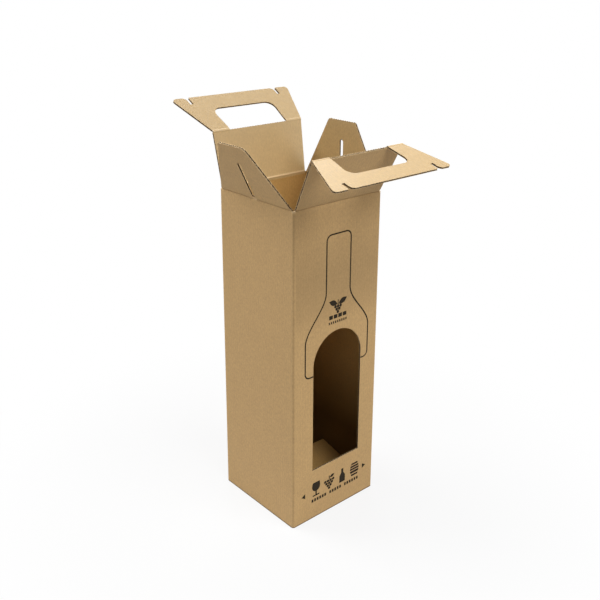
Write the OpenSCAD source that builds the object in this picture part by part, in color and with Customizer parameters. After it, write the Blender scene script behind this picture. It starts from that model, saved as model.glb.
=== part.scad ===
// Carrier carton for one bottle, folded from one sheet of corrugated board.
// Origin at the middle of the base, +Z up, the window faces -Y. Millimetres.

/* [Walls] */
// Outer width of the window wall, along X
carton_w = 112; // [106:1:120]
// Outer depth of the side walls, along Y
carton_d = 110; // [106:1:116]
// Height of the walls up to the top creases
wall_h = 330; // [300:1:360]
// Thickness of the board
board_t = 1.8; // [1.4:0.1:2.2]
// Outer radius of the folded wall corners
corner_r = 2.8; // [2.5:0.1:4]
// Width of the glued lap inside the back left corner
lap_w = 30; // [20:1:40]

/* [Window] */
// Width of the window, which is also the diameter of its arch
window_w = 61; // [44:1:70]
// Height of the straight lower edge of the window above the base
window_sill = 56; // [40:1:80]
// Height of the top of the arch above the base
window_top = 199; // [170:1:230]

/* [Roof panels] */
// Length of each roof panel, from the wall crease to the handle crease
roof_l = 54.5; // [50:0.5:60]
// Lean of the front roof panel, outward from upright
front_roof_lean = 26.5; // [0:0.5:60]
// Lean of the back roof panel, outward from upright
back_roof_lean = 10.5; // [0:0.5:60]

/* [Handles] */
// Length of each handle panel beyond its crease
handle_l = 48; // [44:0.5:54]
// Width of each handle panel at its outer edge
handle_w = 147; // [136:1:156]
// Radius of the outer corners of the handle panels
handle_r = 3.5; // [1:0.5:6]
// Width of the hand hole at the crease
hand_hole_w = 72; // [60:1:80]
// Width of the hand hole at its far end
hand_hole_far_w = 77; // [64:1:84]
// Depth of the hand hole from the crease
hand_hole_l = 29.5; // [24:0.5:32]
// Radius of the inner corners of the hand hole
hand_hole_r = 9; // [4:0.5:11]
// Width of the two hook notches in the outer edge
notch_w = 2.8; // [2.4:0.1:4]
// Depth of the two hook notches
notch_l = 9.5; // [6:0.5:11]
// Radius of the mouth of each notch, on the side where the hook slides in
notch_mouth_r = 4; // [1:0.5:5]
// Fold of the front handle, outward from its roof panel
front_handle_fold = 82; // [0:1:110]
// Fold of the back handle, outward from its roof panel
back_handle_fold = 44.5; // [0:0.5:110]

/* [Side flaps] */
// Length of each side flap from its crease
side_flap_l = 60.5; // [56:0.5:66]
// Width of each side flap at its free edge
side_flap_tip_w = 37; // [30:1:50]
// Radius of the corners of the free edge
side_flap_r = 4; // [1:0.5:6]
// Width of the slot that takes the handle
slot_w = 4.8; // [4.4:0.1:7]
// Length of the slot from the crease
slot_l = 42; // [34:0.5:48]
// Lean of the left side flap, outward from upright
left_flap_lean = 26.5; // [0:0.5:60]
// Lean of the right side flap, outward from upright
right_flap_lean = 0; // [0:0.5:60]

/* [Bottom flaps] */
// Length of the front bottom flap, along its slope
front_bottom_l = 76; // [60:1:84]
// Slope of the front bottom flap, which rests on the others
front_bottom_slope = 10; // [4:0.5:14]
// Length of the two dust flaps
dust_flap_l = 44; // [30:1:48]
// Width of the dust flaps at their free edge
dust_flap_tip_w = 66; // [40:1:90]
// Length of the back bottom flap, to the end of its tongue
back_bottom_l = 82; // [70:1:96]
// Width of the tongue at the end of the back bottom flap
tongue_w = 50; // [30:1:60]

/* [Hidden] */
$fn = 64;
// Straight steps in each rounded corner of a panel
corner_steps = 8;
// Clear gap along each top crease, so that the panels can swing
crease_gap = 0.6;
// Distance from a hinge line to the cut edge of the panel below it
crease_cut = board_t / 2 + crease_gap;
// Space left beside each wall corner at the foot of the top panels
corner_relief = 2.8;
// Space between layers of the bottom, and between the bottom flaps and the walls
layer_gap = 0.3;
side_gap = 0.8;
// The lap stops short of both ends of the walls
lap_end_gap = 8;
// The lap reaches one board thickness in from the left wall, which it is glued to
lap_reach = board_t / 2 + board_t;
// Reach of a cut past the face it breaks through
cut = 1;
inner_w = carton_w - 2 * board_t;
inner_d = carton_d - 2 * board_t;
crease_x = (carton_w - board_t) / 2;
crease_y = (carton_d - board_t) / 2;
roof_foot_w = carton_w - 2 * corner_relief;
side_flap_foot_w = carton_d - 2 * corner_relief;
layer_pitch = board_t + layer_gap;
// The front bottom flap lies over the back flap and the dust flaps
front_bottom_z = 2 * layer_pitch + board_t / 2 + layer_gap;

function unit(v) = v / norm(v);

function turned(v, angle) = [v.x * cos(angle) - v.y * sin(angle), v.x * sin(angle) + v.y * cos(angle)];

// Points along a rounded corner, from the side that runs through a to the side that runs through b
function eased(a, corner, b, r) =
    let (
        to_a = unit(a - corner),
        to_b = unit(b - corner),
        half_angle = acos(to_a * to_b) / 2,
        middle = corner + unit(to_a + to_b) * r / sin(half_angle),
        start = corner + to_a * r / tan(half_angle) - middle,
        sweep = sign(cross(to_b, to_a)) * (180 - 2 * half_angle)
    )
    [for (i = [0 : corner_steps]) middle + turned(start, sweep * i / corner_steps)];

// Symmetric outline that tapers from the crease on the X axis to an outer edge with rounded corners
module tapered_outline(foot_w, tip_w, length, r) {
    foot = [foot_w / 2, 0];
    tip = [tip_w / 2, length];
    left_foot = [-foot.x, 0];
    left_tip = [-tip.x, length];
    polygon(concat([left_foot, foot], eased(foot, tip, left_tip, r), eased(tip, left_tip, left_foot, r)));
}

// Board of the flat outline given as children, with its middle in the XY plane
module board() {
    linear_extrude(board_t, center = true)
        children();
}

// Crushed edge of a panel on its hinge line, eight-sided, with two corners on the faces of the board
module crease_edge(width) {
    rotate([0, 90, 0])
        cylinder(d = board_t, h = width, center = true, $fn = 8);
}

// Stands a panel, drawn flat with its hinge line on the X axis, on the top crease of a wall
module on_crease(turn, reach, lean) {
    rotate([0, 0, turn])
        translate([0, -reach, wall_h])
            rotate([90 + lean, 0, 0])
                children();
}

// Moves a handle panel, drawn flat, to the end of its roof panel and folds it outward
module on_roof(fold) {
    translate([0, roof_l, 0])
        rotate([fold, 0, 0])
            children();
}

module rounded_rectangle(width, depth, r) {
    square([width - 2 * r, depth], center = true);
    square([width, depth - 2 * r], center = true);
    for (sx = [-1, 1], sy = [-1, 1])
        translate([sx * (width / 2 - r), sy * (depth / 2 - r)])
            circle(r);
}

module walls() {
    linear_extrude(wall_h - crease_cut)
        difference() {
            rounded_rectangle(carton_w, carton_d, corner_r);
            rounded_rectangle(inner_w, inner_d, corner_r - board_t);
        }
}

module window() {
    arch_r = window_w / 2;
    translate([0, -crease_y, 0])
        rotate([90, 0, 0])
            linear_extrude(board_t + 2 * cut, center = true) {
                translate([-arch_r, window_sill])
                    square([window_w, window_top - arch_r - window_sill]);
                translate([0, window_top - arch_r])
                    circle(arch_r);
            }
}

module glued_lap() {
    translate([-crease_x, inner_d / 2 - lap_w, lap_end_gap])
        cube([lap_reach, lap_w, wall_h - 2 * lap_end_gap]);
}

// Flap of the window wall, which slopes up over the other three
module front_bottom_flap() {
    translate([0, -crease_y, front_bottom_z])
        rotate([front_bottom_slope, 0, 0])
            board()
                translate([side_gap - inner_w / 2, 0])
                    square([inner_w - 2 * side_gap, front_bottom_l]);
}

module dust_flap() {
    foot_y = inner_d / 2 - side_gap;
    tip_y = dust_flap_tip_w / 2;
    tip_x = dust_flap_l - crease_x;
    linear_extrude(board_t)
        polygon([
            [-crease_x, -foot_y], [-crease_x, foot_y], [tip_x, tip_y], [tip_x, -tip_y]
        ]);
}

// Flap of the back wall, on the floor, with a tongue at its free end
module back_bottom_flap() {
    foot_x = inner_w / 2 - side_gap;
    shoulder_y = crease_y - back_bottom_l / 2;
    tongue_y = crease_y - back_bottom_l;
    linear_extrude(board_t)
        polygon([
            [-foot_x, crease_y], [foot_x, crease_y], [foot_x, shoulder_y], [tongue_w / 2, tongue_y],
            [-tongue_w / 2, tongue_y], [-foot_x, shoulder_y]
        ]);
}

module carton_body() {
    color([0.66, 0.52, 0.34]) {
        difference() {
            walls();
            window();
        }
        glued_lap();
        front_bottom_flap();
        translate([0, 0, layer_pitch]) {
            dust_flap();
            mirror([1, 0, 0])
                dust_flap();
        }
        back_bottom_flap();
    }
}

module roof_panel() {
    board()
        polygon([
            [-roof_foot_w / 2, 0], [roof_foot_w / 2, 0],
            [carton_w / 2, roof_l - crease_cut], [-carton_w / 2, roof_l - crease_cut]
        ]);
    crease_edge(roof_foot_w);
}

module hand_hole() {
    tapered_outline(hand_hole_w, hand_hole_far_w, hand_hole_l, hand_hole_r);
    translate([-hand_hole_w / 2, -board_t])
        square([hand_hole_w, board_t + cut]);
}

module hook_notch() {
    straight_x = -notch_w / 2;
    eased_x = notch_w / 2;
    outside_y = handle_l + cut;
    mouth = [eased_x + notch_mouth_r, handle_l - notch_mouth_r];
    mouth_arc = [
        for (i = [0 : corner_steps])
            mouth + turned([-notch_mouth_r, 0], -90 * i / corner_steps)
    ];
    polygon(concat(
        [[mouth.x, outside_y], [straight_x, outside_y]],
        [[straight_x, handle_l - notch_l], [eased_x, handle_l - notch_l]],
        mouth_arc
    ));
}

module handle_panel() {
    difference() {
        union() {
            board()
                tapered_outline(carton_w, handle_w, handle_l, handle_r);
            crease_edge(carton_w);
        }
        linear_extrude(board_t + 2 * cut, center = true) {
            hand_hole();
            for (side = [-1, 1])
                translate([side * crease_x, 0])
                    hook_notch();
        }
    }
}

// Slot from the crease to a pointed end
module slot() {
    shoulder_y = slot_l - slot_w / 2;
    polygon([
        [-slot_w / 2, -board_t], [slot_w / 2, -board_t], [slot_w / 2, shoulder_y],
        [0, slot_l], [-slot_w / 2, shoulder_y]
    ]);
}

module side_flap() {
    difference() {
        union() {
            board()
                tapered_outline(side_flap_foot_w, side_flap_tip_w, side_flap_l, side_flap_r);
            crease_edge(side_flap_foot_w);
        }
        linear_extrude(board_t + 2 * cut, center = true)
            slot();
    }
}

module front_roof() {
    color([0.64, 0.5, 0.32])
        on_crease(0, crease_y, front_roof_lean)
            roof_panel();
}

module front_handle() {
    color([0.74, 0.6, 0.41])
        on_crease(0, crease_y, front_roof_lean)
            on_roof(front_handle_fold)
                handle_panel();
}

module back_roof() {
    color([0.64, 0.5, 0.32])
        on_crease(180, crease_y, back_roof_lean)
            roof_panel();
}

module back_handle() {
    color([0.74, 0.6, 0.41])
        on_crease(180, crease_y, back_roof_lean)
            on_roof(back_handle_fold)
                handle_panel();
}

module left_side_flap() {
    color([0.69, 0.55, 0.36])
        on_crease(-90, crease_x, left_flap_lean)
            side_flap();
}

module right_side_flap() {
    color([0.69, 0.55, 0.36])
        on_crease(90, crease_x, right_flap_lean)
            side_flap();
}

carton_body();
front_roof();
front_handle();
back_roof();
back_handle();
left_side_flap();
right_side_flap();
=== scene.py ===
import bmesh
import bpy
import numpy as np
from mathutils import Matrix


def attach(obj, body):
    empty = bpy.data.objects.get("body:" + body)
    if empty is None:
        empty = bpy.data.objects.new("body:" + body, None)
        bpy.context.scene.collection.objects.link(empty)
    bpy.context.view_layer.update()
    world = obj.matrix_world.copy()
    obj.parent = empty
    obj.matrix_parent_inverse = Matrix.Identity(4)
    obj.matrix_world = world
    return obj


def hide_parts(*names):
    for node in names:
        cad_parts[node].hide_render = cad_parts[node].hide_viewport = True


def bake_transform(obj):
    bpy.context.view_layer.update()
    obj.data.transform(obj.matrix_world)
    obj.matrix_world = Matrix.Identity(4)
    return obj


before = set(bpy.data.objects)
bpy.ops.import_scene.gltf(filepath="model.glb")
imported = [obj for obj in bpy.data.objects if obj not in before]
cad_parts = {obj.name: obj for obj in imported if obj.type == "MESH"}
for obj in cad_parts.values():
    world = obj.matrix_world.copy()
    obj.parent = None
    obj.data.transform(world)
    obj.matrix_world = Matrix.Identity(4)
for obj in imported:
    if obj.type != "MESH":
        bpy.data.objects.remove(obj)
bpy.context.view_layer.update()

# The board: one sheet of corrugated kraft, two liners with a fluted medium glued between them.
# All sizes are in millimetres. The flutes stand upright in every wall and run on into the flaps,
# so each surface carries its place on the flat blank, which the paper's pattern then follows.
BOARD, LINER, FLUTE = 1.8, 0.22, 3.2
WALL_W, WALL_D, WALL_H = 112.0, 110.0, 330.0
CORNER = 2.8
METRE = 1000.0
BLANK_UNIT = 100.0
WELD = 1e-7
# how far inside a cut edge the medium's rows of points lie, and the steps in which the edge is walked
MEDIUM_ROWS = np.array([0.25, 1.4, 3.6])
MEDIUM_STEP, FEWEST_STEPS = 0.3, 6
# material slots: outer liner, inner liner and medium, then the same three as cut rims, then as hidden sides,
# which take the dark medium as painted shade inside the board
OUTSIDE, INSIDE, EDGE, CUT, HIDDEN = 0, 1, 2, 3, 6


def tube_side(turn, apart, width, across):
    """One side of the tube: its turn from the front, the way out to the middle of its board, half the width
    of its flat panel, and how far across the blank its middle lies."""
    return {"turn": turn, "reach": (apart - BOARD) / 2, "half": width / 2 - CORNER, "across": across}


SIDES = {
    "front": tube_side(0, WALL_D, WALL_W, WALL_D + WALL_W / 2),
    "right": tube_side(90, WALL_W, WALL_D, WALL_D * 1.5 + WALL_W),
    "back": tube_side(180, WALL_D, WALL_W, WALL_D * 2 + WALL_W * 1.5),
    "left": tube_side(-90, WALL_W, WALL_D, WALL_D / 2),
}


def turned(x, y, degrees):
    """Pairs of coordinates turned about nought, from the first axis towards the second."""
    angle = np.radians(degrees)
    return x * np.cos(angle) - y * np.sin(angle), x * np.sin(angle) + y * np.cos(angle)


def on_side(points, side, lean=0.0, run=0.0, fold=0.0):
    """Carries flat points (across, up, outward) to one side of the carton: they fold about the line at
    height run, lean outward about the top crease, move out to the middle of the wall's board and turn to
    the side."""
    across, up, out = np.asarray(points, float).T
    up, out = turned(up, out, fold)
    up, out = turned(run + up, out, lean)
    x, y = turned(across, -side["reach"] - out, side["turn"])
    return np.stack([x, y, WALL_H + up], 1)


def patch(points):
    """Grid of points, rows by columns, as quads between neighbours."""
    rows, columns = points.shape[:2]
    i = np.arange(rows * columns).reshape(rows, columns)
    quads = np.stack([i[:-1, :-1], i[:-1, 1:], i[1:, 1:], i[1:, :-1]], -1).reshape(-1, 4)
    return points.reshape(-1, 3), quads.tolist()


def flat(outline, out):
    """One face over a flat outline, at a set distance outward from the middle of the board."""
    return np.c_[outline, np.full(len(outline), out)], [list(range(len(outline)))]


def flipped(points, faces):
    """The same surface, looking the other way."""
    return points, [face[::-1] for face in faces]


def two_liners(outline, upper=OUTSIDE, lower=INSIDE):
    """Both liners of a flat panel, one on each side of the board and looking away from it."""
    return [(*flat(outline, BOARD / 2), upper), (*flipped(*flat(outline, -BOARD / 2)), lower)]


def leftward(path):
    """Unit steps to the left of a path, square to the way it runs at each point."""
    along = np.gradient(path, axis=0)
    along /= np.linalg.norm(along, axis=1, keepdims=True)
    return np.stack([-along[:, 1], along[:, 0]], 1)


def flutes(edge, across):
    """Medium seen along a cut edge: the edge is walked in short steps, rows of points step inward from it,
    and each point lies off the middle of the board by a sine of its distance across the flutes."""
    length = np.r_[0, np.cumsum(np.hypot(*np.diff(edge, axis=0).T))]
    steps = np.linspace(0, length[-1], max(FEWEST_STEPS, int(length[-1] / MEDIUM_STEP)))
    walk = np.stack([np.interp(steps, length, line) for line in edge.T], 1)
    grid = walk[:, None] + leftward(walk)[:, None] * MEDIUM_ROWS[None, :, None]
    wave = (BOARD / 2 - LINER) * np.sin(2 * np.pi * (grid[..., :1] + across) / FLUTE)
    return patch(np.concatenate([grid, wave], 2))


def bell(x, middle, width):
    """Bell curve: one at the middle, fading within a width or two to either side."""
    return np.exp(-(((x - middle) / width) ** 2))


def board(name, parts, place, across=0.0, up=WALL_H, wear_and_shade=0.0, solid=False, well=False):
    """Joins parts (points, faces, finish) into one mesh. Place carries the flat points to the carton, and
    where they lie on the blank becomes the UV map. Solidify gives each paper its thickness, into the board,
    with a pale cut rim and a dark hidden side, which is painted shade, unless the parts are solid. The mark
    at each point is scuffs and painted light above nought and painted shade below it. Pieces of the well
    take the darker well paper for their inside liner, as painted shade in the box's hollow."""
    starts = np.cumsum([0] + [len(points) for points, _, _ in parts])
    flat_points = np.concatenate([points for points, _, _ in parts])
    faces = [[v + start for v in face] for (_, part, _), start in zip(parts, starts) for face in part]
    finishes = np.concatenate([np.full(len(part), finish) for _, part, finish in parts])
    mesh = bpy.data.meshes.new(name)
    mesh.from_pydata((place(flat_points) / METRE).tolist(), [], faces)
    corners = np.zeros(len(mesh.loops), int)
    mesh.loops.foreach_get("vertex_index", corners)
    blank = (flat_points[:, :2] + [across, up]) / BLANK_UNIT
    mesh.uv_layers.new(name="blank").data.foreach_set("uv", blank[corners].ravel())
    liners = (kraft_outside, kraft_well_shaded if well else kraft_inside)
    # the hidden sides take the dark medium: painted shade inside the board
    for paper in (*liners, kraft_medium_shaded, *[kraft_cut] * 3, *[kraft_medium_shaded] * 3):
        mesh.materials.append(paper)
    mesh.polygons.foreach_set("material_index", finishes.astype(np.int32))
    wear_and_shade_attr = mesh.attributes.new("wear_and_shade", "FLOAT", "POINT")
    wear_and_shade_attr.data.foreach_set("value", np.zeros(len(flat_points)) + wear_and_shade)
    welded = bmesh.new()
    welded.from_mesh(mesh)
    bmesh.ops.remove_doubles(welded, verts=welded.verts, dist=WELD)
    welded.to_mesh(mesh)
    welded.free()
    piece = bpy.data.objects.new(name, mesh)
    bpy.context.scene.collection.objects.link(piece)
    if not solid:
        paper = piece.modifiers.new("paper", "SOLIDIFY")
        paper.thickness, paper.offset = LINER / METRE, -1.0
        paper.material_offset, paper.material_offset_rim = HIDDEN, CUT
    return piece


# The paper: brown kraft with soft clouds in the pulp, long thin fibres, dark flecks and the washboard of the
# flutes pressed through. The outside, the inside, the well, the medium and the cut edges differ in tone: the
# well's paper is painted darker as shade in the box's hollow, and the medium much darker as the shade
# between the flutes.
# Each pattern has its repeats per 100 mm of blank, its detail and roughness, and the range of it that shows.
PATTERNS = {
    "Cloud": ((9, 6, 1), 6, 0.65, (0.25, 0.75)),
    "Fibre": ((60, 30, 1), 7, 0.75, (0.3, 0.7)),
    "Fleck": ((130, 80, 1), 2, 0.55, (0.58, 0.72)),
}
CLOUD_TONES, FIBRE_TONES, FIBRE_SHARE = (0.90, 1.10), (0.68, 1.32), 0.55
RIDGE_TONE, RIDGE_SHARE = 0.75, 0.10
FLECK_TONE, FLECK_SHARE = 0.45, 0.4
PAINTED_SHADE_TONE = 0.4
ROUGH_RANGE = 0.08
RELIEF_M = 0.00012


def sums(tree, operation, *values):
    """Math node: each value is a number or the socket that it comes from."""
    node = tree.nodes.new("ShaderNodeMath")
    node.operation = operation
    for socket, value in zip(node.inputs, values):
        if isinstance(value, (int, float)):
            socket.default_value = value
        else:
            tree.links.new(value, socket)
    return node.outputs[0]


def ranged(tree, value, start, end, low=0.0, high=1.0, ease="LINEAR"):
    """Map Range node: while the value goes from start to end, the result goes from low to high."""
    node = tree.nodes.new("ShaderNodeMapRange")
    node.interpolation_type = ease
    for socket, number in zip(("From Min", "From Max", "To Min", "To Max"), (start, end, low, high)):
        node.inputs[socket].default_value = number
    tree.links.new(value, node.inputs["Value"])
    return node.outputs["Result"]


def noise(tree, place, repeats, detail, roughness):
    """Noise texture with its own number of repeats along each axis of the blank."""
    stretch, texture = tree.nodes.new("ShaderNodeMapping"), tree.nodes.new("ShaderNodeTexNoise")
    stretch.inputs["Scale"].default_value = repeats
    for socket, value in (("Scale", 1.0), ("Detail", detail), ("Roughness", roughness)):
        texture.inputs[socket].default_value = value
    tree.links.new(place, stretch.inputs["Vector"])
    tree.links.new(stretch.outputs["Vector"], texture.inputs["Vector"])
    return texture.outputs["Fac"]


def mixed(tree, factor, share, a, b):
    """Colour mix from a to b, each a colour or a socket, by a share of the factor, or by the share alone."""
    mix = tree.nodes.new("ShaderNodeMix")
    mix.data_type = "RGBA"
    mix.inputs["Factor"].default_value = share
    if factor is not None:
        tree.links.new(sums(tree, "MULTIPLY", factor, share), mix.inputs["Factor"])
    for socket, value in ((mix.inputs["A"], a), (mix.inputs["B"], b)):
        if isinstance(value, tuple):
            socket.default_value = (*value, 1.0)
        else:
            tree.links.new(value, socket)
    return mix.outputs["Result"]


def shaded(colour, by):
    """Colour made darker or lighter by a factor."""
    return tuple(by * channel for channel in colour)


def on_blank(tree):
    """Place on the flat blank, from the UV map."""
    node = tree.nodes.new("ShaderNodeUVMap")
    node.uv_map = "blank"
    return node.outputs["UV"]


def kraft_pulp():
    """Shader group for the patterns in the paper, read off the place on the blank."""
    group = bpy.data.node_groups.new("kraft_pulp", "ShaderNodeTree")
    group.interface.new_socket("Blank", in_out="INPUT", socket_type="NodeSocketVector")
    for output in (*PATTERNS, "Washboard"):
        group.interface.new_socket(output, in_out="OUTPUT", socket_type="NodeSocketFloat")
    entry, leave = group.nodes.new("NodeGroupInput"), group.nodes.new("NodeGroupOutput")
    blank = entry.outputs["Blank"]
    for output, (repeats, detail, roughness, shown) in PATTERNS.items():
        pattern = noise(group, blank, repeats, detail, roughness)
        group.links.new(ranged(group, pattern, *shown), leave.inputs[output])
    parted = group.nodes.new("ShaderNodeSeparateXYZ")
    group.links.new(blank, parted.inputs[0])
    phase = sums(group, "MULTIPLY", parted.outputs["X"], 2 * np.pi * BLANK_UNIT / FLUTE)
    ridges = sums(group, "MULTIPLY_ADD", sums(group, "SINE", phase), 0.5, 0.5)
    group.links.new(ridges, leave.inputs["Washboard"])
    return group


PULP = kraft_pulp()


def kraft(name, colour, wear_and_shade, washboard, rough, relief, sheen):
    """Paper finish: clouds and fibres of darker and lighter kraft, dark flecks over them, a pale tone where
    the mesh's mark is above nought, for scuffs and painted light, and a darker one where it is below, for
    painted shade. The washboard and the fibres also raise the surface."""
    material = bpy.data.materials.new(name)
    material.use_nodes = True
    tree = material.node_tree
    surface = tree.nodes["Principled BSDF"]
    pulp, wear_and_shade_attr = tree.nodes.new("ShaderNodeGroup"), tree.nodes.new("ShaderNodeAttribute")
    pulp.node_tree = PULP
    wear_and_shade_attr.attribute_name = "wear_and_shade"
    tree.links.new(on_blank(tree), pulp.inputs["Blank"])
    cloud, fibre, fleck, ridge = (pulp.outputs[output] for output in (*PATTERNS, "Washboard"))

    clouds = mixed(tree, cloud, 1.0, *(shaded(colour, by) for by in CLOUD_TONES))
    fibres = mixed(tree, fibre, 1.0, *(shaded(colour, by) for by in FIBRE_TONES))
    tone = mixed(tree, None, FIBRE_SHARE, clouds, fibres)
    tone = mixed(tree, ridge, RIDGE_SHARE, tone, shaded(colour, RIDGE_TONE))
    tone = mixed(tree, fleck, FLECK_SHARE, tone, shaded(colour, FLECK_TONE))
    # the mesh's mark: scuffs and painted light towards the pale tone, painted shade towards the dark one
    tone = mixed(tree, wear_and_shade_attr.outputs["Fac"], 1.0, tone, wear_and_shade)
    tone = mixed(tree, wear_and_shade_attr.outputs["Fac"], -1.0, tone, shaded(colour, PAINTED_SHADE_TONE))
    tree.links.new(tone, surface.inputs["Base Color"])

    gloss = ranged(tree, fibre, 0.0, 1.0, rough - ROUGH_RANGE, rough + ROUGH_RANGE)
    tree.links.new(gloss, surface.inputs["Roughness"])
    surface.inputs["Specular IOR Level"].default_value = sheen
    bump = tree.nodes.new("ShaderNodeBump")
    bump.inputs["Strength"].default_value = relief
    bump.inputs["Distance"].default_value = RELIEF_M
    tree.links.new(sums(tree, "MULTIPLY_ADD", ridge, washboard, fibre), bump.inputs["Height"])
    tree.links.new(bump.outputs["Normal"], surface.inputs["Normal"])
    return material


kraft_outside = kraft(
    "kraft_outside", (0.500, 0.322, 0.142), wear_and_shade=(0.68, 0.50, 0.28),
    washboard=0.9, rough=0.62, relief=0.35, sheen=0.25,
)
kraft_inside = kraft(
    "kraft_inside", (0.434, 0.294, 0.127), wear_and_shade=(0.74, 0.56, 0.32),
    washboard=0.5, rough=0.40, relief=0.18, sheen=0.75,
)
# the well's paper: a darker, more saturated copy of the inside paper, painted shade in the box's hollow
kraft_well_shaded = kraft(
    "kraft_well_shaded", (0.425, 0.252, 0.082), wear_and_shade=(0.74, 0.56, 0.32),
    washboard=0.5, rough=0.60, relief=0.18, sheen=0.3,
)
# the medium, painted much darker than its paper as the shade between the flutes; it also covers the hidden
# sides
kraft_medium_shaded = kraft(
    "kraft_medium_shaded", (0.14, 0.085, 0.036), wear_and_shade=(0.50, 0.34, 0.17),
    washboard=0.0, rough=0.75, relief=0.3, sheen=0.3,
)
kraft_cut = kraft(
    "kraft_cut", (0.72, 0.53, 0.30), wear_and_shade=(0.80, 0.64, 0.42),
    washboard=0.0, rough=0.70, relief=0.3, sheen=0.3,
)

# The walls: four panels folded into a tube, with rounded folds at the corners and an arched window cut
# through the front. The panels stop just under the top creases, and only the corners stand up to them.
FOLD = 3.0
WALL_TOP, POST_TOP = -FOLD, -0.6
WINDOW_HALF, WINDOW_MID = 31.8, 1.3
WINDOW_SILL, WINDOW_TOP = 55.5 - WALL_H, 200.6 - WALL_H
ARCH_STEPS, TURN_STEPS = 33, 9
# painted shade by height above the floor. The inner liner is painted dark down in the well, as shade in the
# box's hollow. The outer one is painted dark along the foot, as shade where the wall meets the floor, and in
# front a little darker in a soft band under the roof, as the roof's painted shadow.
FOOT_ROWS = [0.0, 0.9, 1.5]
WELL_SHADE_ROWS = np.array([*FOOT_ROWS, 56.0, 134.0, WALL_H + WALL_TOP])
WELL_SHADE_TONES = np.array([-1.0, -1.0, -1.0, -1.0, 0.0, 0.0])
OUTSIDE_SHADE_ROWS = np.array([*FOOT_ROWS, 206.0, 225.0, 242.0, 259.0, 276.0, 297.0, WALL_H + WALL_TOP])
OUTSIDE_SHADE_TONES = np.array([-1.0, -1.0, 0.0, 0.0, -0.20, -0.27, -0.30, -0.20, 0.0, 0.0])
# marks round a corner fold by their angles: a pale line and a dark one of painted shade, and the scuffed top
# of the post
PALE_LINE, PALE_LINE_AT, PALE_LINE_W = 0.2, 0.3, 0.2
FOLD_SHADE, FOLD_SHADE_AT, FOLD_SHADE_W = 0.22, 0.9, 0.22
POST_SCUFF, POST_RIM = 0.8, POST_TOP - 0.02
arch_angle = np.linspace(np.pi, 0, ARCH_STEPS)
arch_mid = np.array([WINDOW_MID, WINDOW_TOP - WINDOW_HALF])
arch = arch_mid + WINDOW_HALF * np.stack([np.cos(arch_angle), np.sin(arch_angle)], 1)


def rectangle(left, right, low, high):
    """Four corners, walked so that the face looks outward."""
    return np.array([(left, low), (right, low), (right, high), (left, high)])


def wall_outlines(side, half):
    """Flat outlines of a wall: stacked rectangles, or in front a left and a right half that meet above and
    below the window, with stacked rectangles under and over each half."""
    rows = (OUTSIDE_SHADE_ROWS if side == "front" else WELL_SHADE_ROWS) - WALL_H
    stack = list(zip(rows[:-1], rows[1:]))
    if side != "front":
        return [rectangle(-half, half, *pair) for pair in stack]
    low, high = stack.pop(len(FOOT_ROWS) - 1)
    crown = len(arch) // 2
    outlines = []
    for walk, end, curve in ((1, -half, arch[: crown + 1]), (-1, half, arch[: crown - 1 : -1])):
        below = [(end, low), (WINDOW_MID, low), (WINDOW_MID, WINDOW_SILL), (curve[0, 0], WINDOW_SILL)]
        outlines.append(np.concatenate([below, curve, [(WINDOW_MID, high), (end, high)]])[::walk])
    for ends in ((-half, WINDOW_MID), (WINDOW_MID, half)):
        outlines += [rectangle(*ends, *pair) for pair in stack]
    return outlines


def wall_painted_shade(parts, side=None):
    """Painted shade of a wall's points by height: the well's inside, the foot's outside, and in front the
    roof's painted shadow.
    """
    outer = len(OUTSIDE_SHADE_ROWS) if side == "front" else len(FOOT_ROWS)
    tables = {INSIDE: (WELL_SHADE_ROWS, WELL_SHADE_TONES), OUTSIDE: (OUTSIDE_SHADE_ROWS[:outer], OUTSIDE_SHADE_TONES[:outer])}
    plain = ([0.0], [0.0])
    return np.concatenate([
        np.interp(points[:, 1] + WALL_H, *tables.get(finish, plain)) for points, _, finish in parts
    ])


def round_corner(half, radius, turn, up):
    """Points on a corner fold: a quarter circle about the corner's centre, past the end of the wall."""
    return np.stack([half + radius * np.sin(turn), up, radius * np.cos(turn) - CORNER + BOARD / 2], -1)


for side, at in SIDES.items():
    half, across = at["half"], at["across"]
    parts = [liner for outline in wall_outlines(side, half) for liner in two_liners(outline)]
    if side == "front":
        sill = np.array([(arch[0, 0], WINDOW_SILL), (arch[-1, 0], WINDOW_SILL)])
        cut = np.concatenate([sill[:1], arch, sill[::-1]])
        parts.append((*flutes(cut, across), EDGE))
    # painted shade by height: down in the well inside, along the foot outside, and in front the roof's
    # painted shadow
    tones = wall_painted_shade(parts, side)
    wall = board(f"{side}_wall", parts, lambda p: on_side(p, at), across, wear_and_shade=tones, well=True)
    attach(wall, "carton_body")
    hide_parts("carton_body")

    # the fold at this wall's right-hand end, a quarter turn about the corner's own centre
    angle = np.linspace(0, np.pi / 2, TURN_STEPS)
    turn, up = np.meshgrid(angle, np.append(WELL_SHADE_ROWS - WALL_H, POST_TOP))
    outer, inner = (patch(round_corner(half, radius, turn, up)) for radius in (CORNER, CORNER - BOARD))
    rim_up = np.full(len(angle), POST_RIM)
    rim = np.stack([round_corner(half, radius, angle, rim_up) for radius in (CORNER, CORNER - BOARD)])
    parts = [(*outer, OUTSIDE), (*flipped(*inner), INSIDE), (*patch(rim), CUT)]
    tones = wall_painted_shade(parts)
    # a pale line and a dark line of painted shade across the fold, and the post's scuffed top
    lines = PALE_LINE * bell(angle, PALE_LINE_AT, PALE_LINE_W) - FOLD_SHADE * bell(angle, FOLD_SHADE_AT, FOLD_SHADE_W)
    tones[: turn.size] += np.concatenate([np.tile(lines, len(turn) - 1), np.full(len(angle), POST_SCUFF)])
    fold = board(f"{side}_corner_fold", parts, lambda p: on_side(p, at), across, wear_and_shade=tones, well=True)
    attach(fold, "carton_body")
    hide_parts("carton_body")

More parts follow.
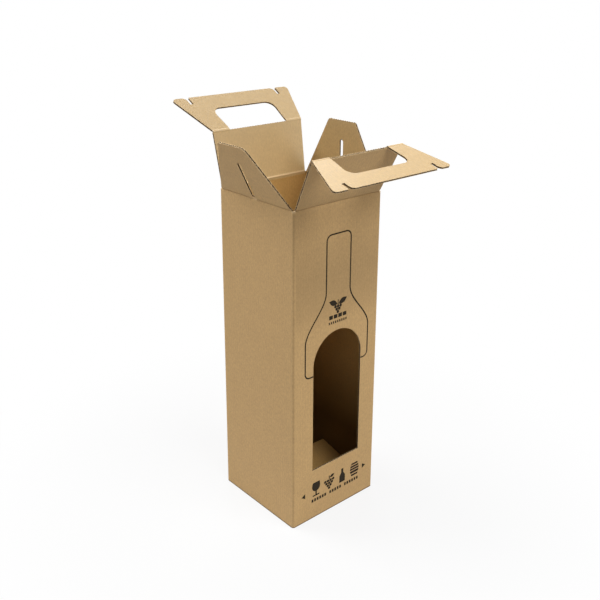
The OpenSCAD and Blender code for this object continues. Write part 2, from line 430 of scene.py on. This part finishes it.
# The glued lap: a strip of the back panel folded in and stuck to the inside of the left wall.
# Its outer liner meets the wall, so only its inner face and its long cut edge show.
LAP_W, LAP_END, LAP_THICK = 30.0, 8.0, BOARD * 0.98
lap_start, lap_in = -WALL_D / 2 + BOARD, -BOARD * 1.5
lap_outline = rectangle(lap_start, lap_start + LAP_W, LAP_END - WALL_H, -LAP_END)
lap_parts = [
    (*flipped(*flat(lap_outline, lap_in)), INSIDE),
    (*flat(lap_outline, lap_in + LAP_THICK), OUTSIDE),
]
# painted shade down in the well, as on the walls
tones = wall_painted_shade(lap_parts)
lap = board("glued_lap", lap_parts, lambda p: on_side(p, SIDES["left"]), -WALL_D / 2, wear_and_shade=tones, well=True)
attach(lap, "carton_body")
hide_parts("carton_body")

# The bottom: four flaps folded in and locked. The back flap lies on the floor, the two dust flaps over it,
# and the front flap slopes up over them all, so that its inner face is what the window shows.
LAYER_GAP, SIDE_GAP, FLAP_START = 0.3, 0.8, 1.0
LAYER = BOARD + LAYER_GAP
FLOOR_SLOPE, FLOOR_L = 13.0, 76.0
DUST_HALF, DUST_L = 33.0, 44.0
TONGUE_HALF, TONGUE_SHOULDER, TONGUE_L = 25.0, 41.0, 82.0
# painted shade on the bottom flaps down in the box, and how far below the walls their blank lies
BOTTOM_SHADE, BOTTOM_BLANK = -0.2, -100.0


def laid(points, height, slope, turn, reach):
    """Carries flat points (across, inward, upward) to the bottom: they tilt about the wall's foot, rise to
    their layer, start at the wall and turn to its side."""
    across, inward, up = np.asarray(points, float).T
    inward, up = turned(inward, up, slope)
    x, y = turned(across, inward - reach, turn)
    return np.stack([x, y, height + up], 1)


def bottom_flap(name, outline, height, slope, side):
    """Board between two flat faces, inner face up, with the medium showing along its free edges."""
    at = SIDES[side]
    edge = np.roll(outline, -1, axis=0)
    parts = [*two_liners(outline, INSIDE, OUTSIDE), (*flutes(edge, at["across"]), EDGE)]

    def place(points):
        return laid(points, height, slope, at["turn"], at["reach"])

    piece = board(name, parts, place, at["across"], BOTTOM_BLANK, BOTTOM_SHADE, well=True)
    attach(piece, "carton_body")
    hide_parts("carton_body")


front_half, side_half = WALL_W / 2 - BOARD - SIDE_GAP, WALL_D / 2 - BOARD - SIDE_GAP
floor_panel = rectangle(-front_half, front_half, FLAP_START, FLOOR_L)
dust = np.array([
    (-side_half, FLAP_START), (side_half, FLAP_START), (DUST_HALF, DUST_L), (-DUST_HALF, DUST_L),
])
tongue = np.array([
    (-front_half, FLAP_START), (front_half, FLAP_START), (front_half, TONGUE_SHOULDER),
    (TONGUE_HALF, TONGUE_L), (-TONGUE_HALF, TONGUE_L), (-front_half, TONGUE_SHOULDER),
])
bottom_flap("front_bottom_flap", floor_panel, 2 * LAYER + BOARD / 2 + LAYER_GAP, FLOOR_SLOPE, "front")
bottom_flap("left_dust_flap", dust, LAYER + BOARD / 2, 0.0, "left")
bottom_flap("right_dust_flap", dust, LAYER + BOARD / 2, 0.0, "right")
bottom_flap("back_bottom_flap", tongue, BOARD / 2, 0.0, "back")

# The top panels: a roof panel and a handle panel beyond it at front and back, and a slotted flap on each
# side. All are die-cut in the same sheet, so their edges show the flutes between the liners.
# Creases are pressed into the sheet: a groove outside and a bead inside, which is scuffed pale.
ROOF_L, HANDLE_L, FLAP_L = 54.5, 48.0, 60.5
LEANS = {"front": 26.5, "right": 0.0, "back": 10.5, "left": 26.5}
HANDLE_FOLDS = {"front": 82.0, "back": 44.5}
ASKEW = {"front": 0.0, "back": 0.075}
HANDLE_TIP, TIP_ROUND, TAB_SHORT, LEG_IN = 73.5, 3.5, 0.2, 36.3
HOLE_NEAR, HOLE_FAR, HOLE_L, HOLE_ROUND = 36.0, 38.5, 29.5, 9.0
NOTCH_AT, NOTCH_HALF, NOTCH_L, NOTCH_MOUTH = SIDES["left"]["reach"], 1.8, 9.5, 5.0
FLAP_TIP, SLOT_HALF, SLOT_L = 18.5, 2.4, 42.0
FLAP_CORNERS = {"left": (10.0, 4.0), "right": (4.0, 4.0)}
TOOTH, TOOTH_STEP = 0.5, 0.4
# painted light and shade on some panels, outside and inside: above nought painted lighter, below it painted
# darker
PANEL_SHADES = {"front_roof": (-0.1, 0.0), "back_roof": (0.0, 0.15), "back_handle": (0.0, -0.20)}
EVEN = (0.0, 0.0)
# a crease's groove, and for creases on the wall and on the handle how far to either side it bends, how high
# its bead is and how scuffed that is; the widths are those of the bell curves
CREASE_STEPS = 25
GROOVE, GROOVE_W, BEAD_W = 0.55, 0.6, 0.8
WALL_CREASE, HANDLE_CREASE = (FOLD, 0.32, 0.75), (1.7, 0.08, 0.25)
# the scuff's width, the painted shade along the groove and its width, and the torn end of a slot: how pale,
# where, how wide and how far past the slot
SCUFF_W, GROOVE_SHADE, GROOVE_SHADE_W = 0.9, 0.3, 0.7
TORN, TORN_AT, TORN_W, TORN_END = 0.9, 0.4, 1.1, 1.2


def eased(a, corner, b, radius, steps=9):
    """Points of an arc that rounds a corner, from the side through a to the side through b."""
    a, corner, b = (np.asarray(p, float) for p in (a, corner, b))
    to_a, to_b = (a - corner) / np.linalg.norm(a - corner), (b - corner) / np.linalg.norm(b - corner)
    half = np.arccos(to_a @ to_b) / 2
    middle = corner + (to_a + to_b) / np.linalg.norm(to_a + to_b) * radius / np.sin(half)
    start = corner + to_a * radius / np.tan(half) - middle
    hand = np.sign(to_b[0] * to_a[1] - to_b[1] * to_a[0])
    spin = hand * (180 - 2 * np.degrees(half)) * np.linspace(0, 1, steps)
    return middle + np.stack(turned(*start, spin), 1)


def toothed(start, end):
    """Straight cut made with a toothed knife: it steps in by a raised cosine once for each flute."""
    x = np.linspace(start[0], end[0], int(abs(end[0] - start[0]) / TOOTH_STEP))
    return np.stack([x, start[1] - TOOTH * (0.5 - 0.5 * np.cos(2 * np.pi * x / FLUTE))], 1)


def cut_panel(name, outline, side, body, liner=None, **lie):
    """Two liners over one outline, and the medium along the cut edge, which runs from the outline's second
    point round to its first. Where the knife was toothed, the liners have an outline of their own."""
    at = SIDES[side]
    edge = np.concatenate([outline[1:], outline[:1]])
    parts = [*two_liners(outline if liner is None else liner), (*flutes(edge, at["across"]), EDGE)]
    # each liner takes its panel's painted light and shade, the medium none
    tones = (*PANEL_SHADES.get(body, EVEN), 0.0)
    wear_and_shade = np.concatenate([np.full(len(points), tone) for (points, _, _), tone in zip(parts, tones)])
    up = WALL_H + lie.get("run", 0.0)
    piece = board(name, parts, lambda p: on_side(p, at, **lie), at["across"], up, wear_and_shade)
    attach(piece, body)
    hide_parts(body)


def crease_strip(profile, past, stations, shifts):
    """Profile carried along the stations of a crease, as outside, inside and the two long edges. Past the
    fold it also shifts along the crease."""
    shifted = np.r_[past, past[::-1]]
    points = np.concatenate([np.c_[x + shift * shifted, profile] for x, shift in zip(stations, shifts)])
    count, half = len(profile), len(past)
    ring = np.arange(count)
    quads = np.stack([ring, ring + count, np.roll(ring, -1) + count, np.roll(ring, -1)], 1)
    spans = quads + count * np.arange(len(stations) - 1)[:, None, None]
    shown = {
        OUTSIDE: spans[:, : half - 1],
        INSIDE: spans[:, half : count - 1],
        EDGE: spans[:, [half - 1, count - 1]],
    }
    return [(points, faces.reshape(-1, 4).tolist(), finish) for finish, faces in shown.items()]


def crease_ends(over, outer, inner, past, stations, shifts):
    """Cut ends of a crease: each shows a liner, the crushed medium and the other liner."""
    levels = np.stack([outer, outer - LINER, inner + LINER, inner])
    bands, parts = (CUT, EDGE, CUT), []
    for end in (0, -1):
        across = stations[end] + shifts[end] * past
        points, faces = patch(np.stack(np.broadcast_arrays(across, over, levels), 2))
        for finish, band in zip(bands, np.split(np.array(faces), len(bands))):
            parts.append((points, band.tolist(), finish))
    return parts


def crease_scuffs_and_shade(over, share, scuff, bodies):
    """Scuffs and painted shade across a crease, over the change from one panel's painted light and shade to
    the
    next: painted shade along the groove outside, pale scuffs along the bead inside, and torn pale where a
    slot ends."""
    before, after = (np.array(PANEL_SHADES.get(body, EVEN))[:, None] for body in bodies)
    tone_outside, tone_inside = before + (after - before) * share
    outside_shade = tone_outside - GROOVE_SHADE * bell(over, 0, GROOVE_SHADE_W)
    inside_scuff_and_shade = tone_inside + scuff * bell(over, 0, SCUFF_W)
    return outside_shade, inside_scuff_and_shade, TORN * bell(over, TORN_AT, TORN_W)


def creased(name, side, left, right, far, bodies, lean, run=None, fold=None, slot=None):
    """Creased strip between two panels: a profile across the fold, whose turn eases from none to the whole
    angle, with a groove outside, painted shade along it, and a bead inside with pale scuffs, carried along
    the crease. Past the fold its ends run out to the two far ends, where the next panel's edges start. A
    slot that ends on it is torn."""
    at = SIDES[side]
    over = np.linspace(-FOLD, FOLD, CREASE_STEPS)
    bend, bead, scuff = WALL_CREASE if run is None else HANDLE_CREASE
    share = np.clip((over + bend) / (2 * bend), 0, 1)
    ease = share * share * (3 - 2 * share)
    outer = BOARD / 2 - GROOVE * bell(over, 0, GROOVE_W)
    inner = -BOARD / 2 - bead * bell(over, 0, BEAD_W)
    profile = np.concatenate([np.stack([over, outer], 1), np.stack([over, inner], 1)[::-1]])
    torn_ends = [] if slot is None else [-slot - TORN_END, -slot, slot, slot + TORN_END]
    stations = np.array([left, *torn_ends, right])
    shifts, past = np.zeros(len(stations)), np.clip(over, 0, None) / FOLD
    shifts[0], shifts[-1] = far[0] - left, far[1] - right
    strip = crease_strip(profile, past, stations, shifts)
    ends = crease_ends(over, outer, inner, past, stations, shifts)

    def at_points(on_strip, on_end):
        return np.r_[np.tile(on_strip, len(strip)), np.tile(on_end, len(ends))]

    def lie(points, turn):
        if run is None:
            return on_side(points, at, lean=lean * turn)
        return on_side(points, at, lean=lean, run=run, fold=fold * turn)

    # a cut end has four rows of points, the two sides of each liner, and its inner two carry no scuffs and
    # no painted shade
    turns = at_points(np.tile(np.r_[ease, ease[::-1]], len(stations)), np.r_[ease, ease, ease, ease])
    # painted shade along the groove and the panels' painted light and shade, scuffs on the bead
    outside_shade, inside_scuff_and_shade, torn = crease_scuffs_and_shade(over, share, scuff, bodies)
    in_slot = [slot is not None and abs(x) <= slot for x in stations]
    strip_wear_and_shade = np.concatenate([np.r_[torn if here else outside_shade, inside_scuff_and_shade[::-1]] for here in in_slot])
    wear_and_shade = at_points(strip_wear_and_shade, np.r_[outside_shade, 0 * over, 0 * over, inside_scuff_and_shade])
    up = WALL_H + (run or 0.0)
    piece = board(name, strip + ends, lambda p: lie(p, turns), at["across"], up, wear_and_shade, solid=True)
    swept = bmesh.new()
    swept.from_mesh(piece.data)
    bmesh.ops.delete(swept, geom=[v for v in swept.verts if not v.link_faces], context="VERTS")
    bmesh.ops.recalc_face_normals(swept, faces=swept.faces)
    swept.to_mesh(piece.data)
    swept.free()
    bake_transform(piece)


for side in ("front", "back"):
    foot, head = SIDES[side]["half"], WALL_W / 2
    lean, fold = LEANS[side], HANDLE_FOLDS[side]
    low, high, tab = FOLD, ROOF_L - FOLD, ROOF_L - TAB_SHORT
    slant_low, slant_high = (foot + (head - foot) * up / ROOF_L for up in (low, high))
    roof = np.array([
        (-slant_low, low), (slant_low, low), (slant_high, high), (LEG_IN, high),
        (LEG_IN, tab), (-LEG_IN, tab), (-LEG_IN, high), (-slant_high, high),
    ])
    roof_liner = np.concatenate([roof[:4], toothed(roof[4], roof[5]), roof[6:]])
    cut_panel(f"{side}_roof_panel", roof, side, f"{side}_roof", roof_liner, lean=lean)
    far = (-slant_low, slant_low)
    creased(f"{side}_roof_crease", side, -foot, foot, far, ("carton_body", f"{side}_roof"), lean)

    # the handle: legs either side of the hand hole, and a bar whose outer edge has two hooked notches
    leg_out = head + (HANDLE_TIP - head) * FOLD / HANDLE_L
    leg_in = HOLE_NEAR + (HOLE_FAR - HOLE_NEAR) * FOLD / HOLE_L
    hole_corner = eased((HOLE_NEAR, 0), (HOLE_FAR, HOLE_L), (0, HOLE_L), HOLE_ROUND)
    tip_corner = eased((head, 0), (HANDLE_TIP, HANDLE_L), (0, HANDLE_L), TIP_ROUND)
    mouth = eased((1, 0), (0, 0), (0, -1), NOTCH_MOUTH)
    slit = np.array([(0, -NOTCH_L), (-2 * NOTCH_HALF, -NOTCH_L), (-2 * NOTCH_HALF, 0)])
    notch = np.concatenate([mouth, slit]) + [NOTCH_HALF, HANDLE_L]
    handle = np.concatenate([
        [(-leg_out, FOLD), (-leg_in, FOLD)],
        hole_corner * [-1, 1], hole_corner[::-1],
        [(leg_in, FOLD), (leg_out, FOLD)],
        tip_corner,
        notch + [NOTCH_AT, 0], notch - [NOTCH_AT, 0],
        tip_corner[::-1] * [-1, 1],
    ])
    handle[:, 0] += ASKEW[side] * (handle[:, 1] - FOLD)
    cut_panel(f"{side}_handle_panel", handle, side, f"{side}_handle", lean=lean, run=ROOF_L, fold=fold)
    bodies = (f"{side}_roof", f"{side}_handle")
    left_far, right_far = (-leg_out, -leg_in), (leg_in, leg_out)
    creased(f"{side}_left_handle_crease", side, -head, -LEG_IN, left_far, bodies, lean, ROOF_L, fold)
    creased(f"{side}_right_handle_crease", side, LEG_IN, head, right_far, bodies, lean, ROOF_L, fold)

for side in ("left", "right"):
    foot, lean = SIDES[side]["half"], LEANS[side]
    slant = foot + (FLAP_TIP - foot) * FOLD / FLAP_L
    tip = (FLAP_TIP, FLAP_L)
    first, last = (eased((foot, 0), tip, (0, FLAP_L), radius) for radius in FLAP_CORNERS[side])
    last = last[::-1] * [-1, 1]
    slotted = np.array([
        (-slant, FOLD), (-SLOT_HALF, FOLD), (-SLOT_HALF, SLOT_L - SLOT_HALF), (0, SLOT_L),
        (SLOT_HALF, SLOT_L - SLOT_HALF), (SLOT_HALF, FOLD), (slant, FOLD),
    ])
    flap = np.concatenate([slotted, first, last])
    flap_liner = np.concatenate([slotted, first, toothed(first[-1], last[0]), last])
    cut_panel(f"{side}_flap_panel", flap, side, f"{side}_side_flap", flap_liner, lean=lean)
    bodies = ("carton_body", f"{side}_side_flap")
    creased(f"{side}_flap_crease", side, -foot, foot, (-slant, slant), bodies, lean, slot=SLOT_HALF)

# The print: one dark ink on the front wall. A bottle drawn in line stands round the window, a small emblem
# sits on its shoulder, and a row of wine signs between two pointers runs along the foot.
# Each mark is a film of ink on the liner, with a grain given like the paper's patterns.
INK = 0.05
INK_TONES = (0.011, 0.008, 0.004), (0.034, 0.024, 0.013)
INK_GRAIN = ((160, 160, 160), 3, 0.5)
INK_ROUGH, INK_SHEEN = 0.7, 0.12
ink = bpy.data.materials.new("dark_ink")
ink.use_nodes = True
tree = ink.node_tree
surface = tree.nodes["Principled BSDF"]
grain = noise(tree, on_blank(tree), *INK_GRAIN)
tree.links.new(mixed(tree, grain, 1.0, *INK_TONES), surface.inputs["Base Color"])
surface.inputs["Roughness"].default_value = INK_ROUGH
surface.inputs["Specular IOR Level"].default_value = INK_SHEEN


def printed(name, marks):
    """Films of ink over flat outlines on the front wall, given as across and height above the floor."""
    front = SIDES["front"]
    films = [(*flat(mark - [0, WALL_H], BOARD / 2 + INK), OUTSIDE) for mark in marks]
    piece = board(name, films, lambda p: on_side(p, front), front["across"])
    piece.data.materials.clear()
    piece.data.materials.append(ink)
    piece.modifiers["paper"].thickness = INK * 2 / METRE
    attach(piece, "carton_body")


def ribbon(path, width):
    """Line of one width along a path: its points step half a width to either side, square to the path."""
    aside = leftward(path) * width / 2
    right, left = path - aside, path + aside
    return [np.array(quad) for quad in zip(right[:-1], right[1:], left[1:], left[:-1])]


def disc(x, z, radius, steps=20):
    """Round dot."""
    angle = np.linspace(0, 2 * np.pi, steps, endpoint=False)
    return np.stack([x + radius * np.cos(angle), z + radius * np.sin(angle)], 1)


def leaf(x, z, length, width, tilt, steps=12):
    """Lens between two sine curves, laid along a tilted line from its foot."""
    angle = np.linspace(0, np.pi, steps)
    along, aside = angle / np.pi * length, np.sin(angle) * width / 2
    lens = np.concatenate([np.stack([along, -aside], 1), np.stack([along, aside], 1)[-2:0:-1]])
    return np.stack(turned(*lens.T, tilt), 1) + [x, z]


def bunch(x, top, widest, across, down, radius):
    """Grapes in rows under one another, each row one grape shorter than the row above."""
    return [
        disc(x + (place - (count - 1) / 2) * across, top - (widest - count) * down, radius)
        for count in range(widest, 0, -1) for place in range(count)
    ]


# the bottle: foot, side, shoulder as an easing curve, neck and lip, mirrored
BOTTLE_MID, BODY_HALF, NECK_HALF = 0.6, 41.6, 15.6
BOTTLE_FOOT, SHOULDER_LOW, SHOULDER_TOP, BOTTLE_TOP = 160.2, 195.0, 242.0, 298.8
FOOT_ROUND, LIP_ROUND, SHOULDER_STEPS = 5.5, 6.0, 25
LINE_W, WINDOW_GAP = 1.5, 0.1
rise = np.linspace(0, 1, SHOULDER_STEPS)
shoulder_half = BODY_HALF + (NECK_HALF - BODY_HALF) * rise ** 2 * (3 - 2 * rise)
half_bottle = np.concatenate([
    eased((0, BOTTLE_FOOT), (BODY_HALF, BOTTLE_FOOT), (BODY_HALF, SHOULDER_LOW), FOOT_ROUND),
    np.stack([shoulder_half, SHOULDER_LOW + (SHOULDER_TOP - SHOULDER_LOW) * rise], 1),
    eased((NECK_HALF, SHOULDER_TOP), (NECK_HALF, BOTTLE_TOP), (0, BOTTLE_TOP), LIP_ROUND),
    [(0, BOTTLE_TOP)],
])
bottle = []
for hand in (1, -1):
    start = WINDOW_HALF + WINDOW_GAP + hand * (WINDOW_MID - BOTTLE_MID)
    line = ribbon(np.concatenate([[(start, BOTTLE_FOOT)], half_bottle]), LINE_W)
    bottle += [quad[::hand] * [hand, 1] + [BOTTLE_MID, 0] for quad in line]
printed("bottle_outline", bottle)

# the emblem: a small bunch of grapes under two leaves, and two rows of plain blocks below it
LEAF_L, LEAF_W, LEAF_TILT, LEAF_FOOT = 12.0, 5.6, 22, (0.6, 227.4)
STALK_HALF, STALK_LOW, STALK_TOP = 0.5, 226.6, 232.0
BLOCK_HALF, BLOCK_LOW, BLOCK_TOP, BLOCK_STEP = 2.4, 213.2, 217.2, 6.0
DASH_HALF, DASH_LOW, DASH_TOP, DASH_STEP = 0.8, 208.2, 210.7, 2.75


def blocks(count, step, half, low, high):
    """Row of plain blocks, evenly spaced to either side of the middle."""
    places = (np.arange(count) - (count - 1) / 2) * step
    return [rectangle(x - half, x + half, low, high) for x in places]


leaves = [
    leaf(LEAF_FOOT[0], LEAF_FOOT[1], LEAF_L, LEAF_W, LEAF_TILT),
    leaf(-LEAF_FOOT[0], LEAF_FOOT[1], LEAF_L, LEAF_W, 180 - LEAF_TILT),
]
emblem = [
    *bunch(x=0, top=225.2, widest=3, across=3.4, down=2.9, radius=1.65), *leaves,
    rectangle(-STALK_HALF, STALK_HALF, STALK_LOW, STALK_TOP),
    *blocks(4, BLOCK_STEP, BLOCK_HALF, BLOCK_LOW, BLOCK_TOP),
    *blocks(9, DASH_STEP, DASH_HALF, DASH_LOW, DASH_TOP),
]
printed("emblem", [mark + [BOTTLE_MID, 0] for mark in emblem])

# the signs of the foot row, each drawn about its own middle and up from its own foot
SIGN_TOP = 15.0
CUP_HALF, CUP_DEEP, CUP_UP, CUP_MOUTH, CUP_STEPS = 4.6, 5.4, 10.6, 3.9, 17
STEM_HALF, STEM_TOP, BASE_HALF, BASE_H = 0.7, 5.4, 3.8, 1.4
GRAPE_STALK = (-0.5, 0.5, 10.6, 14.4)
FLASK_HALF, FLASK_NECK, FLASK_SHOULDER, FLASK_THROAT = 3.3, 1.3, 7.2, 10.6
CASK_MID, CASK_HALF_H, CASK_END, CASK_BULGE = 7.5, 7.2, 3.4, 1.9
CASK_BANDS = (-1.0, -0.72), (-0.56, -0.2), (-0.08, 0.2), (0.32, 0.6), (0.74, 1.0)
bowl = np.linspace(np.pi, 2 * np.pi, CUP_STEPS)
cup = np.stack([CUP_HALF * np.cos(bowl), CUP_UP + CUP_DEEP * np.sin(bowl)], 1)
glass = [
    np.concatenate([cup, [(CUP_MOUTH, SIGN_TOP), (-CUP_MOUTH, SIGN_TOP)]]),
    rectangle(-STEM_HALF, STEM_HALF, BASE_H, STEM_TOP),
    rectangle(-BASE_HALF, BASE_HALF, 0.0, BASE_H),
]
grapes = [
    *bunch(x=0, top=9.2, widest=4, across=3.1, down=2.75, radius=1.45),
    rectangle(*GRAPE_STALK),
    leaf(x=0.5, z=12.0, length=6.0, width=3.0, tilt=25),
]
flask_side = np.array([
    (FLASK_HALF, 0.0), (FLASK_HALF, FLASK_SHOULDER), (FLASK_NECK, FLASK_THROAT), (FLASK_NECK, SIGN_TOP),
])
flask = [np.concatenate([flask_side, flask_side[::-1] * [-1, 1]])]
cask = []
for band in CASK_BANDS:
    (low, wide_low), (high, wide_high) = (
        (CASK_MID + CASK_HALF_H * share, CASK_END + CASK_BULGE * (1 - share ** 2)) for share in band
    )
    cask.append(np.array([(-wide_low, low), (wide_low, low), (wide_high, high), (-wide_high, high)]))

# the foot row: the four signs, a row of dashes with two gaps below them, and a pointer at either end
SIGNS = (-25.2, glass), (-7.2, grapes), (11.2, flask), (28.8, cask)
SIGN_SCALE, SIGN_FOOT = [1.2, 1.06], 24.8
ROW_HALF, ROW_LOW, ROW_HIGH = 1.2, 18.6, 22.0
ROW_PLACES, ROW_MID, GAP_AT, GAP_HALF = np.arange(-30, 33.1, 3.5), 1.5, 10.5, 1.7
POINTER, RIGHT_END, LEFT_END = np.array([(0, -2.8), (4.9, 0), (0, 2.8)]), [40.2, 31.3], [-40.0, 30.3]
foot_row = [mark * SIGN_SCALE + [x, SIGN_FOOT] for x, sign in SIGNS for mark in sign]
foot_row += [
    rectangle(x - ROW_HALF, x + ROW_HALF, ROW_LOW, ROW_HIGH)
    for x in ROW_PLACES if abs(abs(x - ROW_MID) - GAP_AT) > GAP_HALF
]
foot_row += [POINTER + RIGHT_END, (POINTER * [-1, 1])[::-1] + LEFT_END]
printed("foot_row", foot_row)

# The view: the camera stands where the photograph was taken from, looking down on the near corner.
# Its place is in metres, and its focal length was found in pixels of the photograph.
FOCAL_PX, PHOTO_PX = 825.2, 600
CAMERA_AT, CAMERA_DOWN, CAMERA_TURN = (-0.5095, -0.5809, 0.5344), 17.67, -40.52
LENS_SHIFT = (0.0168, -0.1167)
camera = bpy.data.objects.new("camera", bpy.data.cameras.new("camera"))
bpy.context.scene.collection.objects.link(camera)
camera.location = CAMERA_AT
camera.rotation_euler = np.radians((90 - CAMERA_DOWN, 0, CAMERA_TURN))
camera.data.lens = FOCAL_PX / PHOTO_PX * camera.data.sensor_width
camera.data.shift_x, camera.data.shift_y = LENS_SHIFT
bpy.context.scene.camera = camera

# The floor and the room: a sheet of paper that runs on into a white backdrop. To the camera both are white,
# and that white doesn't light the carton. Near it the paper keeps some shade, and throws more light back.
FLOOR_HALF, FLOOR_LEVEL, FLOOR_ROUGH = 6, -0.0004, 0.9
GLOW_REACH, GLOW_NEAR = 0.4, 0.82
PALE_REACH, PALE_NEAR, PALE_FAR = 0.3, 0.62, 0.4
ROOM_LIGHT = 0.02


def seen_white(tree):
    """Share of white that a ray sees: all for camera, glossy and transmission rays, none for the rest."""
    path = tree.nodes.new("ShaderNodeLightPath")
    seen = sums(tree, "MAXIMUM", path.outputs["Is Camera Ray"], path.outputs["Is Glossy Ray"])
    return sums(tree, "MAXIMUM", seen, path.outputs["Is Transmission Ray"])


def seen_through(tree, output, share, lit, seen):
    """Sends two shaders to an output, mixed by the share of the second."""
    mix = tree.nodes.new("ShaderNodeMixShader")
    for socket, value in zip(mix.inputs, (share, lit, seen)):
        tree.links.new(value, socket)
    tree.links.new(mix.outputs[0], tree.nodes[output].inputs["Surface"])


floor_mesh = bpy.data.meshes.new("floor")
floor_corners = rectangle(-FLOOR_HALF, FLOOR_HALF, -FLOOR_HALF, FLOOR_HALF)
floor_mesh.from_pydata([(x, y, FLOOR_LEVEL) for x, y in floor_corners.tolist()], [], [(0, 1, 2, 3)])
floor = bpy.data.objects.new("floor", floor_mesh)
bpy.context.scene.collection.objects.link(floor)
paper_floor = bpy.data.materials.new("paper_floor")
paper_floor.use_nodes = True
tree = paper_floor.node_tree
surface, glow = tree.nodes["Principled BSDF"], tree.nodes.new("ShaderNodeEmission")
surface.inputs["Roughness"].default_value = FLOOR_ROUGH
away = tree.nodes.new("ShaderNodeVectorMath")
away.operation = "LENGTH"
tree.links.new(tree.nodes.new("ShaderNodeTexCoord").outputs["Object"], away.inputs[0])
grey = ranged(tree, away.outputs["Value"], 0.0, PALE_REACH, PALE_NEAR, PALE_FAR)
tree.links.new(grey, surface.inputs["Base Color"])
near = ranged(tree, away.outputs["Value"], 0.0, GLOW_REACH, GLOW_NEAR, 1.0, "SMOOTHSTEP")
glowing = sums(tree, "MULTIPLY", seen_white(tree), near)
seen_through(tree, "Material Output", glowing, surface.outputs[0], glow.outputs[0])
floor_mesh.materials.append(paper_floor)

room = bpy.data.worlds.new("room")
bpy.context.scene.world = room
room.use_nodes = True
tree = room.node_tree
lit, backdrop = tree.nodes["Background"], tree.nodes.new("ShaderNodeBackground")
for light, strength in ((lit, ROOM_LIGHT), (backdrop, 1.0)):
    light.inputs["Color"].default_value = (1, 1, 1, 1)
    light.inputs["Strength"].default_value = strength
seen_through(tree, "World Output", seen_white(tree), lit.outputs[0], backdrop.outputs[0])

# The light: a strong soft lamp high in front and another high behind on the left, and two weak ones at the
# left and behind on the right. All are square softboxes, placed and sized in metres, aimed at the carton.
LAMP_AIM = (0, 0, 0.2)


def softbox(name, place, size, energy):
    """Square area lamp at a place, turned to face the carton."""
    lamp = bpy.data.objects.new(name, bpy.data.lights.new(name, "AREA"))
    bpy.context.scene.collection.objects.link(lamp)
    lamp.data.size, lamp.data.energy = size, energy
    lamp.location = place
    x, y, z = np.subtract(LAMP_AIM, place)
    lamp.rotation_euler = (np.arctan2(np.hypot(x, y), -z), 0, np.arctan2(y, x) - np.pi / 2)


softbox("left_softbox", (-2.77, 0.24, 2.15), size=1.8, energy=22)
softbox("front_softbox", (0.42, -2.12, 2.82), size=2.4, energy=126)
softbox("back_left_softbox", (-1.09, 1.89, 2.80), size=1.8, energy=120)
softbox("back_right_softbox", (1.54, 1.71, 2.30), size=1.4, energy=26)

bpy.context.scene.view_settings.view_transform = "Standard"
